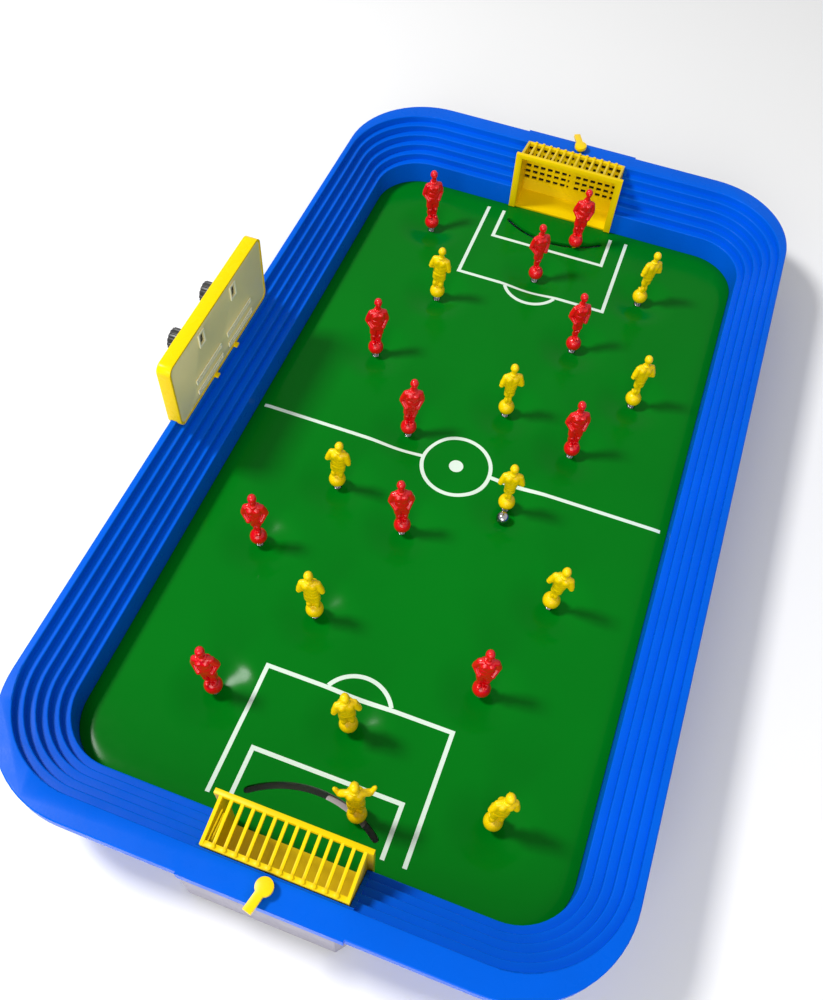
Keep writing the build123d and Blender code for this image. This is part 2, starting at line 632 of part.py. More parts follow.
with BuildPart() as scoreboard_face:
    with BuildSketch(Plane.YZ.offset(BOARD_FRONT - 1.05)):
        with Locations((0, MID_Z)):
            RectangleRounded(2 * BOARD_Y - 2.8, HIGH - 2.8, 3.9)
    extrude(amount=0.8)
    # raised edges round the windows and under the card slots
    for y in DIAL_Y:
        box_between(-147.3, -146.8, y - 3.2, y + 3.2, WINDOW_Z - 5.0, WINDOW_Z + 4.6)
    for y0, y1 in CARD_Y:
        for z in CARD_Z:
            box_between(-147.3, -146.7, y0 - 0.9, y1 + 0.9, z - 1.6, z + 0.9)
    for y in DIAL_Y:
        box_between(-149, -146, y - 2.4, y + 2.4, WINDOW_Z - 4.1, WINDOW_Z + 4.1, Mode.SUBTRACT)
    for y0, y1 in CARD_Y:
        for z in CARD_Z:
            box_between(-149, -146, y0, y1, z - 0.7, z + 0.6, Mode.SUBTRACT)
save(scoreboard_face, "scoreboard_face")

for n, y in enumerate(DIAL_Y, start=1):
    with BuildPart() as number_dial:
        with Locations(Location((-149.8, y, DIAL_Z), (0, 90, 0))):
            Cylinder(DIAL_R - 1.4, 1.2)
        with Locations(Location((-157.2, y, DIAL_Z), (0, 90, 0))):
            Cylinder(1.8, 15.0)
    save(number_dial, f"number_dial_{n}")
    with BuildPart() as thumb_knob:
        with BuildSketch(Plane.YZ.offset(-166.0)):
            with Locations((y, DIAL_Z)):
                Circle(KNOB_R)
                with PolarLocations(KNOB_R + 0.35, 14):
                    Circle(0.8, mode=Mode.SUBTRACT)
                Circle(1.8, mode=Mode.SUBTRACT)
        extrude(amount=10.2)
    save(thumb_knob, f"thumb_knob_{n}")
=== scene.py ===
"""Looks of the tabletop foosball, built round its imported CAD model.

Lengths are worked out in millimetres and turned into metres when a mesh is made.
"""
import json
import math

import bmesh
import bpy
import numpy as np
from mathutils import Matrix, Vector

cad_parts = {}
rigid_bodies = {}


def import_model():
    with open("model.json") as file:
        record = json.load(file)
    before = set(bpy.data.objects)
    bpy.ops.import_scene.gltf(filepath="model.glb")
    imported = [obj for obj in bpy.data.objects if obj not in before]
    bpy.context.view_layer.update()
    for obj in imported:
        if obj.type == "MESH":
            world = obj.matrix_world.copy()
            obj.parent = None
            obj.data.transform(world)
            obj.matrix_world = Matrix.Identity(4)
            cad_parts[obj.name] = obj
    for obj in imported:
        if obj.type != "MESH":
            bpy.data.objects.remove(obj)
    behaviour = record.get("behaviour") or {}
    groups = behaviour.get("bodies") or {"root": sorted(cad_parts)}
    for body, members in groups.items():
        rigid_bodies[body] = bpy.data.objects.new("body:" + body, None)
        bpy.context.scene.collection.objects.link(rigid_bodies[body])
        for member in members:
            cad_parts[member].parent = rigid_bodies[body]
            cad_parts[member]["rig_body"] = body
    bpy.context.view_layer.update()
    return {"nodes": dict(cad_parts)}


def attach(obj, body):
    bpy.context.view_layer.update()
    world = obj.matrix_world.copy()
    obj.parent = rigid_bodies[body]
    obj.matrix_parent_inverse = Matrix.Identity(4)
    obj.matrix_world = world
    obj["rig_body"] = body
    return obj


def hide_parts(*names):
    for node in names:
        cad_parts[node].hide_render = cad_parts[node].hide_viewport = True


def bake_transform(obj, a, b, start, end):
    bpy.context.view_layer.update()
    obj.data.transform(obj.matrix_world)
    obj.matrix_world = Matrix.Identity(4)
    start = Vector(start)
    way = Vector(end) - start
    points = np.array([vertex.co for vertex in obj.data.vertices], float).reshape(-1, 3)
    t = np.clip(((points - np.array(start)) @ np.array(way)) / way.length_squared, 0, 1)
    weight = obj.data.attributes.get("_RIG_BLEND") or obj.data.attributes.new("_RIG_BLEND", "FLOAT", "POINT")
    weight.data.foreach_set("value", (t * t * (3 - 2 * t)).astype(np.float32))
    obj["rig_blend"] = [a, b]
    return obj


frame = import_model()
MM = 0.001

# ------------------------------------------------------------------ sizes shared with the solids
PITCH_TOP = 18.0
PITCH_T = 2.2
WALL_X, WALL_Y, WALL_R = 129.0, 236.7, 30.7      # inner wall round the pitch: half sizes, corners
DIMPLE_R = 26.5
DIMPLE_DEEP = 4.3
SPRING_HOLE_R = 2.6
SPRING_R = 1.8
SPRING_WIRE_R = 0.28
SPRING_BOTTOM = 9.5
SPRING_TOP = 18.6
SPRING_FREE = 17.0    # above this a spring moves with its player
PLACES = [
    (83.6, -192.8), (0.5, -172.4), (77.8, -67.6), (-40.6, -119.4), (36.0, -15.1),
    (-61.6, -36.6), (15.2, 52.1), (87.8, 88.9), (71.8, 178.0), (-57.6, 130.2),
]
# how each stands at rest, in degrees: leaning towards +X, leaning towards +Y, turned
STANCES = {
    "yellow": [
        (5, 2, 25), (-1, -3, 30), (4, -4, 0), (-2, -2, 15), (1, -5, 15),
        (5, -5, 5), (1, -2, 25), (1, -2, 30), (4, -2, 40), (3, -5, 0),
    ],
    "red": [
        (-2, 3, 35), (-1, 0, 40), (1, 2, 30), (-1, 4, 35), (2, 3, 25),
        (-2, 2, 25), (-3, 0, 25), (0, -1, 20), (-3, 0, 15), (0, 2, 15),
    ],
}
FEET_TOGETHER = {"yellow": (3, 5, 7, 8, 9), "red": (2, 4, 8)}
BALL_UP = 3.4
KEEPER_BALL_UP = 5.6
PIVOT_Y = 264.5
LEVER_R = 55.7
SLOT_HALF_ANGLE = 37.0
SLOT_W = 3.6
NEAR_ANGLE = -22.5
FAR_ANGLE = 18.0
DIAL_Y = (-21.0, 18.0)
DIAL_Z = 82.5
WINDOW_Z = 90.6
CARD_Y = ((6.0, 34.5), (-33.0, -4.5))
CARD_Z = (67.0, 58.6)


# ------------------------------------------------------------------ materials
class Graph:
    """A little help for wiring up node materials."""

    def __init__(self, name):
        self.material = bpy.data.materials.new(name)
        self.material.use_nodes = True
        self.tree = self.material.node_tree
        self.tree.nodes.clear()
        self.out = self.tree.nodes.new("ShaderNodeOutputMaterial")
        self.shader = self.tree.nodes.new("ShaderNodeBsdfPrincipled")
        self.tree.links.new(self.shader.outputs["BSDF"], self.out.inputs["Surface"])
        place = self.tree.nodes.new("ShaderNodeTexCoord")
        self.place = place.outputs["Object"]

    def node(self, kind, **values):
        made = self.tree.nodes.new(kind)
        for key, value in values.items():
            if key in made.inputs:
                made.inputs[key].default_value = value
            else:
                setattr(made, key, value)
        return made

    def link(self, a, b):
        self.tree.links.new(a, b)

    def noise(self, scale, detail=3.0, rough=0.5, source=None):
        made = self.node("ShaderNodeTexNoise", Scale=scale, Detail=detail, Roughness=rough)
        self.link(source or self.place, made.inputs["Vector"])
        return made.outputs["Fac"]

    def ramp(self, fac, stops, interpolation="LINEAR"):
        made = self.tree.nodes.new("ShaderNodeValToRGB")
        made.color_ramp.interpolation = interpolation
        points = made.color_ramp.elements
        while len(points) < len(stops):
            points.new(0.5)
        for point, (at, colour) in zip(points, stops):
            point.position = at
            point.color = colour if len(colour) == 4 else (*colour, 1.0)
        self.link(fac, made.inputs["Fac"])
        return made.outputs["Color"]

    def spread(self, fac, low, high, start=0.3, end=0.7):
        made = self.tree.nodes.new("ShaderNodeMapRange")
        for key, value in (("From Min", start), ("From Max", end), ("To Min", low), ("To Max", high)):
            made.inputs[key].default_value = value
        self.link(fac, made.inputs["Value"])
        return made.outputs["Result"]

    def bump(self, height, strength, distance):
        made = self.tree.nodes.new("ShaderNodeBump")
        made.inputs["Strength"].default_value = strength
        made.inputs["Distance"].default_value = distance
        self.link(height, made.inputs["Height"])
        self.link(made.outputs["Normal"], self.shader.inputs["Normal"])

    def set(self, **values):
        for key, value in values.items():
            self.shader.inputs[key.replace("_", " ")].default_value = value


def linear(*rgb):
    """sRGB 0 to 255 as linear light."""
    out = []
    for v in rgb:
        v = v / 255.0
        out.append(v / 12.92 if v <= 0.04045 else ((v + 0.055) / 1.055) ** 2.4)
    return tuple(out)


def shade(colour, factor):
    return tuple(min(1.0, c * factor) for c in colour)


def plastic(name, colour, rough=(0.22, 0.32), vary=0.06, grain=0.015, gloss=0.5, mottled=18.0,
            scatter=0.0):
    """Moulded plastic: slightly mottled colour, uneven gloss, a fine moulding grain."""
    g = Graph(name)
    cloudy = g.noise(mottled, 4.0, 0.55)
    g.link(g.ramp(cloudy, [(0.3, shade(colour, 1 - vary)), (0.7, shade(colour, 1 + vary))]),
           g.shader.inputs["Base Color"])
    streak = g.noise(90.0, 3.0, 0.6)
    g.link(g.spread(streak, rough[0], rough[1]), g.shader.inputs["Roughness"])
    g.bump(g.noise(900.0, 2.0, 0.5), grain, 0.0004)
    g.set(IOR=1.49, Specular_IOR_Level=gloss)
    if scatter:
        g.set(Subsurface_Weight=scatter, Subsurface_Radius=(0.002, 0.0015, 0.0008))
    return g.material


def metal(name, colour, rough=(0.15, 0.3), grain=0.02, scale=400.0):
    """Metal with a little tarnish and fine rubbing marks."""
    g = Graph(name)
    cloudy = g.noise(60.0, 4.0, 0.6)
    g.link(g.ramp(cloudy, [(0.3, shade(colour, 0.86)), (0.7, colour)]), g.shader.inputs["Base Color"])
    g.link(g.spread(g.noise(scale, 3.0, 0.6), rough[0], rough[1]), g.shader.inputs["Roughness"])
    g.bump(g.noise(scale * 2, 2.0, 0.5), grain, 0.0003)
    g.set(Metallic=1.0)
    return g.material


BLUE = plastic("blue_moulding", linear(0, 93, 218), rough=(0.24, 0.34), grain=0.05, gloss=0.06)
GREEN = plastic("green_pitch", linear(0, 116, 20), rough=(0.13, 0.19), vary=0.05, grain=0.01,
                gloss=0.05, mottled=9.0)
YELLOW = plastic("yellow_figure", linear(255, 212, 0), rough=(0.24, 0.36), vary=0.05, gloss=0.25,
                 scatter=0.15)
RED = plastic("red_figure", linear(224, 6, 16), rough=(0.12, 0.2), vary=0.06, gloss=0.4, scatter=0.05)
GOAL = plastic("yellow_goal", linear(240, 205, 0), rough=(0.30, 0.42), vary=0.05, gloss=0.15)
BOARD = plastic("yellow_board", linear(255, 216, 0), rough=(0.22, 0.32), vary=0.03, gloss=0.12)
FACE = plastic("grey_face", linear(252, 238, 180), rough=(0.35, 0.5), vary=0.04, gloss=0.2)
# paler than the face: painted highlight for raised lips that catch the light
EDGE = plastic("face_edges", linear(255, 250, 222), rough=(0.35, 0.5), vary=0.03, gloss=0.2)
# plain dark material used as painted shade inside the card slots and behind the goal nets
PAINTED_SHADE = plastic("slot_shadow", linear(30, 28, 20), rough=(0.6, 0.8), vary=0.10, gloss=0.1)
WHITE = plastic("white_print", linear(222, 240, 224), rough=(0.16, 0.26), vary=0.03, gloss=0.1)
DIAL = plastic("white_dial", linear(236, 236, 228), rough=(0.35, 0.5), vary=0.03)
BLACK = plastic("black_plastic", linear(22, 22, 23), rough=(0.30, 0.45), vary=0.10)
GREY = plastic("grey_strip", linear(146, 142, 156), rough=(0.30, 0.5), vary=0.10)
PALE = plastic("pale_slide", linear(176, 164, 164), rough=(0.30, 0.5), vary=0.08)
RUBBER = plastic("foot_rubber", linear(28, 28, 28), rough=(0.6, 0.8), vary=0.15, grain=0.2)
STEEL = metal("ball_steel", (0.36, 0.36, 0.37), rough=(0.03, 0.08), grain=0.004)
# darker than bright steel, partly painted shade so the springs under the balls read as shaded
WIRE = metal("spring_wire", (0.42, 0.42, 0.43), rough=(0.18, 0.3))
ZINC = metal("screw_zinc", (0.62, 0.63, 0.64), rough=(0.3, 0.45))


# ------------------------------------------------------------------ meshes
def mesh_of(name, verts, faces, material, smooth=True):
    """A mesh in metres from points in millimetres."""
    points = [tuple(float(c) * MM for c in v) for v in verts]
    mesh = bpy.data.meshes.new(name)
    mesh.from_pydata(points, [], [tuple(int(i) for i in f) for f in faces])
    mesh.validate()
    mesh.update()
    mesh.polygons.foreach_set("use_smooth", [smooth] * len(mesh.polygons))
    mesh.materials.append(material)
    return mesh


def link(name, data):
    """A new object in the scene."""
    made = bpy.data.objects.new(name, data)
    bpy.context.scene.collection.objects.link(made)
    return made


def build(name, verts, faces, material, body, slot, smooth=True, sharp=None):
    """An object from points in millimetres, riding on a body."""
    mesh = mesh_of(name, verts, faces, material, smooth)
    piece = link(name, mesh)
    if sharp is not None:
        mark_sharp(mesh, sharp)
    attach(piece, body)
    return piece


def mark_sharp(mesh, degrees):
    """Smooth shading with edges over the angle kept sharp."""
    work = bmesh.new()
    work.from_mesh(mesh)
    limit = math.radians(degrees)
    for edge in work.edges:
        edge.smooth = not (len(edge.link_faces) == 2 and edge.calc_face_angle(0.0) > limit)
    for face in work.faces:
        face.smooth = True
    work.to_mesh(mesh)
    work.free()


def evaluated_mesh(piece):
    """A new mesh of an object as its modifiers or its text make it."""
    bpy.context.view_layer.update()
    graph = bpy.context.evaluated_depsgraph_get()
    return bpy.data.meshes.new_from_object(piece.evaluated_get(graph))


def bake(piece):
    """Apply a piece's modifiers to its mesh."""
    made = evaluated_mesh(piece)
    old = piece.data
    piece.modifiers.clear()
    piece.data = made
    bpy.data.meshes.remove(old)


def gather(parts):
    """Join lists of points and faces into one."""
    verts, faces = [], []
    for v, f in parts:
        faces += [[i + len(verts) for i in face] for face in f]
        verts += list(v)
    return verts, faces


def dress(node, material, soften=0.25):
    """A copy of a CAD node with its edges softened, standing for the node."""
    source = frame["nodes"][node]
    mesh = source.data.copy()
    work = bmesh.new()
    work.from_mesh(mesh)
    bmesh.ops.remove_doubles(work, verts=work.verts, dist=2e-6)
    bmesh.ops.dissolve_limit(work, angle_limit=math.radians(0.6), verts=work.verts, edges=work.edges,
                             delimit={"NORMAL"})
    work.to_mesh(mesh)
    work.free()
    for layer in list(mesh.attributes):
        if layer.name == "custom_normal":
            mesh.attributes.remove(layer)
    mesh.materials.clear()
    mesh.materials.append(material)
    piece = link(f"{node}_look", mesh)
    if soften:
        bevel = piece.modifiers.new("soft", "BEVEL")
        bevel.width = soften * MM
        bevel.segments = 2
        bevel.limit_method = "ANGLE"
        bevel.angle_limit = math.radians(32)
        bevel.harden_normals = False
        bake(piece)
    mark_sharp(piece.data, 38)
    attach(piece, source["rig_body"])
    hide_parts(node)


# ------------------------------------------------------------------ pitch
EVERYONE = [(x, y) for x, y in PLACES] + [(-x, -y) for x, y in PLACES]


def hollow(x, y):
    """How deep the pitch is dished at a point: a round dip under every player."""
    flat = np.ones_like(x, dtype=float)
    for px, py in EVERYONE:
        r = np.minimum(np.hypot(x - px, y - py) / DIMPLE_R, 1.0)
        flat = flat * (1.0 - 0.5 * (1.0 + np.cos(np.pi * r)))
    return DIMPLE_DEEP * (1.0 - flat)


def rounded(x, y, hx, hy, r):
    """Signed distance to a rounded rectangle, negative inside."""
    qx, qy = np.abs(x) - (hx - r), np.abs(y) - (hy - r)
    return np.hypot(np.maximum(qx, 0), np.maximum(qy, 0)) + np.minimum(np.maximum(qx, qy), 0) - r


def slot_distance(x, y):
    """Signed distance to the two curved keeper slots."""
    best = np.full_like(x, 1e9, dtype=float)
    for side in (-1, 1):
        dx, dy = x, (y - side * PIVOT_Y) * -side
        angle = np.arctan2(dx, dy)
        limit = math.radians(SLOT_HALF_ANGLE)
        a = np.clip(angle, -limit, limit)
        d = np.hypot(dx - LEVER_R * np.sin(a), dy - LEVER_R * np.cos(a)) - SLOT_W / 2
        best = np.minimum(best, d)
    return best


def pitch_field(x, y):
    """Negative where there is pitch."""
    d = rounded(x, y, WALL_X, WALL_Y, WALL_R)
    for px, py in EVERYONE:
        d = np.maximum(d, SPRING_HOLE_R - np.hypot(x - px, y - py))
    return np.maximum(d, -slot_distance(x, y))


def clipped_grid(field, low, high, step):
    """Plan polygons that fill the negative part of a field, cut exactly along its edge."""
    nx = int(math.ceil((high[0] - low[0]) / step))
    ny = int(math.ceil((high[1] - low[1]) / step))
    xs = low[0] + step * np.arange(nx + 1)
    ys = low[1] + step * np.arange(ny + 1)
    gx, gy = np.meshgrid(xs, ys, indexing="ij")
    value = field(gx, gy)
    points, lookup, faces = [], {}, []

    def corner(i, j):
        key = (i, j)
        if key not in lookup:
            lookup[key] = len(points)
            points.append((gx[i, j], gy[i, j]))
        return lookup[key]

    def crossing(i0, j0, i1, j1):
        key = (i0, j0, i1, j1) if (i0, j0) < (i1, j1) else (i1, j1, i0, j0)
        if key not in lookup:
            a, b = value[key[0], key[1]], value[key[2], key[3]]
            t = a / (a - b)
            lookup[key] = len(points)
            points.append((
                gx[key[0], key[1]] + t * (gx[key[2], key[3]] - gx[key[0], key[1]]),
                gy[key[0], key[1]] + t * (gy[key[2], key[3]] - gy[key[0], key[1]]),
            ))
        return lookup[key]

    for i in range(nx):
        for j in range(ny):
            ring = ((i, j), (i + 1, j), (i + 1, j + 1), (i, j + 1))
            inside = [value[c] < 0 for c in ring]
            if all(inside):
                faces.append([corner(*c) for c in ring])
            elif any(inside):
                face = []
                for k in range(4):
                    a, b = ring[k], ring[(k + 1) % 4]
                    if inside[k]:
                        face.append(corner(*a))
                    if inside[k] != inside[(k + 1) % 4]:
                        face.append(crossing(*a, *b))
                if len(face) > 2:
                    faces.append(face)
    return np.array(points), faces


def thick_sheet(points, faces, top, thickness):
    """Top, underside and edge of a sheet given in plan."""
    z = top(points[:, 0], points[:, 1])
    n = len(points)
    verts = np.vstack([np.column_stack([points, z]), np.column_stack([points, z - thickness])])
    out = [list(f) for f in faces] + [[i + n for i in reversed(f)] for f in faces]
    seen = {}
    for f in faces:
        for a, b in zip(f, f[1:] + f[:1]):
            seen[(a, b)] = True
    for (a, b) in list(seen):
        if (b, a) not in seen:
            out.append([b, a, a + n, b + n])
    return verts, out


def pitch_height(x, y):
    """The pitch dips under the players and rolls down a little along its edge."""
    edge = np.clip(1.0 + rounded(x, y, WALL_X, WALL_Y, WALL_R) / 9.0, 0, 1)
    return PITCH_TOP - hollow(x, y) - 1.1 * edge ** 2


points, cells = clipped_grid(pitch_field, (-WALL_X - 1, -WALL_Y - 1), (WALL_X + 1, WALL_Y + 1),
                             1.5)
verts, faces = thick_sheet(points, cells, pitch_height, PITCH_T)
pitch = build("pitch_look", verts, faces, GREEN, "stadium", "green_pitch", sharp=40)
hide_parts("pitch_plate")


def ribbon(path, width, closed=False):
    """A printed line along plan points, laid on the pitch, its corners mitred."""
    path = [Vector(p) for p in path]
    if closed:
        path.append(path[0])
    line, across = [], []
    legs = [(b - a).normalized() for a, b in zip(path, path[1:])]
    for k, (a, b) in enumerate(zip(path, path[1:])):
        count = max(1, round((b - a).length / 1.2))
        before = legs[k - 1] if k or closed else legs[k]
        for i in range(count):
            line.append(a.lerp(b, i / count))
            across.append(mitre(before if i == 0 else legs[k], legs[k]))
    if not closed:
        line.append(path[-1])
        across.append(mitre(legs[-1], legs[-1]))
    line, across = np.array(line), np.array(across)
    rows = np.array([line + across * width * f for f in (-0.5, -0.5, -0.17, 0.17, 0.5, 0.5)])
    lift = (-0.05, LINE_LIFT, LINE_LIFT, LINE_LIFT, LINE_LIFT, -0.05)
    verts = []
    for row, up in zip(rows, lift):
        z = pitch_height(row[:, 0], row[:, 1]) + up
        verts += [(x, y, h) for (x, y), h in zip(row, z)]
    faces = []
    n = len(line)
    for k in range(5):
        for i in range(n if closed else n - 1):
            j = (i + 1) % n
            faces.append((k * n + i, (k + 1) * n + i, (k + 1) * n + j, k * n + j))
    if not closed:
        faces.append([k * n for k in range(6)])
        faces.append([k * n + n - 1 for k in reversed(range(6))])
    return verts, faces


def mitre(before, after):
    """Sideways step at a corner between two directions."""
    middle = (before + after).normalized()
    return Vector((-middle.y, middle.x)) / max(middle.dot(after), 0.3)


def arc(cx, cy, r, a0, a1):
    """Plan points along an arc between two angles in degrees."""
    count = max(8, int(abs(a1 - a0) / 3))
    return [(cx + r * math.cos(math.radians(a)), cy + r * math.sin(math.radians(a)))
            for a in np.linspace(a0, a1, count + 1)]


def turned(x, y, profile, sides=28):
    """A closed ring turned about an upright axis from (radius, height) points."""
    n = len(profile)
    verts = [(x + r * math.cos(a), y + r * math.sin(a), z)
             for a in np.linspace(0, 2 * math.pi, sides, endpoint=False) for r, z in profile]
    faces = []
    for i in range(sides):
        j = (i + 1) % sides
        for k in range(n):
            m = (k + 1) % n
            faces.append((i * n + k, j * n + k, j * n + m, i * n + m))
    return verts, faces


LINE_W = 2.3
LINE_LIFT = 0.035
SIDE_LINE_X = 125.0
GOAL_LINE_Y = 227.7
CIRCLE_R = 20.75
BOXES = ((51.15, 157.1), (39.75, 199.9))
D_R, D_Y = 19.6, 164.9
SPOT_SIDES = 40


def pitch_marks():
    """Halfway line, centre circle, and at each end two boxes and the D, as plan lines."""
    marks = [
        ([(-SIDE_LINE_X, 0), (-CIRCLE_R, 0)], False),
        ([(CIRCLE_R, 0), (SIDE_LINE_X, 0)], False),
        (arc(0, 0, CIRCLE_R, 0, 357), True),
    ]
    half_d = math.degrees(math.acos((D_Y - BOXES[0][1] + LINE_W / 2) / D_R))
    for side in (-1, 1):
        for half_x, line_y in BOXES:
            marks.append(([(-half_x, side * GOAL_LINE_Y), (-half_x, side * line_y),
                           (half_x, side * line_y), (half_x, side * GOAL_LINE_Y)], False))
        middle = 90 if side < 0 else 270
        marks.append((arc(0, side * D_Y, D_R, middle - half_d, middle + half_d), False))
    return marks


def centre_spot():
    """A printed disc in rings round the middle of the pitch."""
    angles = np.linspace(0, 2 * math.pi, SPOT_SIDES, endpoint=False)
    plan = np.array([(0, 0)] + [(r * math.cos(a), r * math.sin(a)) for r in (1.5, 3.0, 4.3) for a in angles])
    verts = list(np.column_stack([plan, pitch_height(plan[:, 0], plan[:, 1]) + LINE_LIFT]))
    faces = []
    for i in range(SPOT_SIDES):
        j = (i + 1) % SPOT_SIDES
        faces.append((0, 1 + i, 1 + j))
        for ring in range(2):
            inner, outer = 1 + ring * SPOT_SIDES, 1 + (ring + 1) * SPOT_SIDES
            faces.append((inner + i, outer + i, outer + j, inner + j))
    return verts, faces


printed = [ribbon(path, LINE_W, closed) for path, closed in pitch_marks()] + [centre_spot()]
build("pitch_lines", *gather(printed), WHITE, "stadium", "green_pitch", sharp=60)

# bosses under the pitch for the spring seats, and the middle one
seat = ((4.2, 8.5), (4.2, 12.1), (2.65, 12.1), (2.65, 10.1), (3.0, 10.1), (3.0, 8.5))
bosses = [turned(x, y, seat) for x, y in EVERYONE]
bosses.append(turned(0, 0, ((6.0, 8.0), (6.0, 16.1), (0.02, 16.1), (0.02, 8.0))))
build("pitch_bosses", *gather(bosses), GREEN, "stadium", "green_pitch", sharp=40)

# ------------------------------------------------------------------ tray, goals, scoreboard, small parts
dress("stadium_frame", BLUE, soften=0)
dress("far_goal", GOAL, soften=0.3)
dress("near_goal", GOAL, soften=0.3)
dress("scoreboard_housing", BOARD, soften=0.3)
dress("scoreboard_face", FACE, soften=0.12)


def picture_frame(y0, y1, z0, z1, wide, x0, x1):
    """An upright rectangular band facing +X; returns points and faces."""
    outer = [(y0, z0), (y1, z0), (y1, z1), (y0, z1)]
    inner = [(y0 + wide, z0 + wide), (y1 - wide, z0 + wide), (y1 - wide, z1 - wide), (y0 + wide, z1 - wide)]
    verts = [(x, y, z) for ring in (outer, inner) for x in (x0, x1) for y, z in ring]
    faces = []
    for i in range(4):
        j = (i + 1) % 4
        faces += [(4 + i, 4 + j, 12 + j, 12 + i), (i, j, 4 + j, 4 + i), (8 + j, 8 + i, 12 + i, 12 + j),
                  (j, i, 8 + i, 8 + j)]
    return verts, faces


def block(x0, x1, y0, y1, z0, z1):
    """A box between two corners; returns points and faces."""
    verts = [(x, y, z) for x in (x0, x1) for y in (y0, y1) for z in (z0, z1)]
    return verts, [(0, 1, 3, 2), (4, 6, 7, 5), (0, 4, 5, 1), (2, 3, 7, 6), (0, 2, 6, 4), (1, 5, 7, 3)]


FACE_X = -146.75      # the face plate's raised edges start here
# the raised bands round the windows and slots are paler than the face, a painted highlight on their lips
edges = [
    picture_frame(y - 3.3, y + 3.3, WINDOW_Z - 5.1, WINDOW_Z + 5.0, 0.9, FACE_X - 0.1, FACE_X + 0.45)
    for y in DIAL_Y
]
# dark blocks inside the card slots: painted shade for their shadowed insides
slot_shade = []
for y0, y1 in CARD_Y:
    for z in CARD_Z:
        edges.append(picture_frame(y0 - 1.2, y1 + 1.2, z - 1.9, z + 1.6, 0.95, FACE_X, FACE_X + 0.55))
        slot_shade.append(block(-147.9, -147.1, y0 - 0.2, y1 + 0.2, z - 0.9, z + 0.6))
build("face_edges", *gather(edges), EDGE, "stadium", "grey_face", smooth=False)
build("slot_painted_shade", *gather(slot_shade), PAINTED_SHADE, "stadium", "black_plastic", smooth=False)
# dark sheets behind the nets: painted shade for the shadowed gap seen through them
net_painted_shade = [block(-35.5, 33.7, 257.7, 257.85, 26.0, 55.0), block(-33.7, 35.5, -257.85, -257.7, 26.0, 55.0)]
build("net_painted_shade", *gather(net_painted_shade), PAINTED_SHADE, "stadium", "black_plastic", smooth=False)

for end in ("near", "far"):
    dress(f"{end}_lever", YELLOW, soften=0.3)
    dress(f"{end}_lever_grip", YELLOW, soften=0.5)
dress("near_lever_guard", GREY, soften=0.3)
dress("far_lever_guard", GREY, soften=0.3)
dress("near_slide", PALE, soften=0.15)
dress("far_slide", PALE, soften=0.15)
dress("spring_seats", BLACK, soften=0.2)
for screws in ("pitch_screws", "goal_screws", "near_pivot_screw", "far_pivot_screw"):
    dress(screws, ZINC, soften=0)
dress("rubber_feet", RUBBER, soften=0.5)
dress("centre_foot", RUBBER, soften=0.5)
dress("steel_ball", STEEL, soften=0)
for n in (1, 2):
    dress(f"number_dial_{n}", DIAL, soften=0.1)
    dress(f"thumb_knob_{n}", BLACK)


def digit_mesh(digit):
    """A thick numeral lying in the XY plane, its middle at the origin."""
    text = bpy.data.curves.new(f"digit_{digit}", "FONT")
    text.body = str(digit)
    text.size = 7.4 * MM
    text.offset = 0.22 * MM
    text.extrude = 0.03 * MM
    text.align_x = "CENTER"
    text.align_y = "CENTER"
    text.resolution_u = 3
    draft = link("draft", text)
    mesh = evaluated_mesh(draft)
    bpy.data.objects.remove(draft)
    mesh.materials.clear()
    mesh.materials.append(BLACK)
    return mesh


# digits round each dial, one of them behind its window
DIAL_FRONT_X = -149.18
UPRIGHT = Matrix(((0, 0, 1, 0), (1, 0, 0, 0), (0, 1, 0, 0), (0, 0, 0, 1)))
for n, y in enumerate(DIAL_Y, 1):
    for digit in range(10):
        numeral = link(f"dial_{n}_digit_{digit}", digit_mesh(digit))
        numeral.matrix_world = (
            Matrix.Translation(Vector((DIAL_FRONT_X, y, DIAL_Z)) * MM)
            @ Matrix.Rotation(math.radians(-36 * digit), 4, "X") @ UPRIGHT
            @ Matrix.Translation(Vector((0, (WINDOW_Z - DIAL_Z) * MM, 0)))
        )
        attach(numeral, frame["nodes"][f"number_dial_{n}"]["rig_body"])


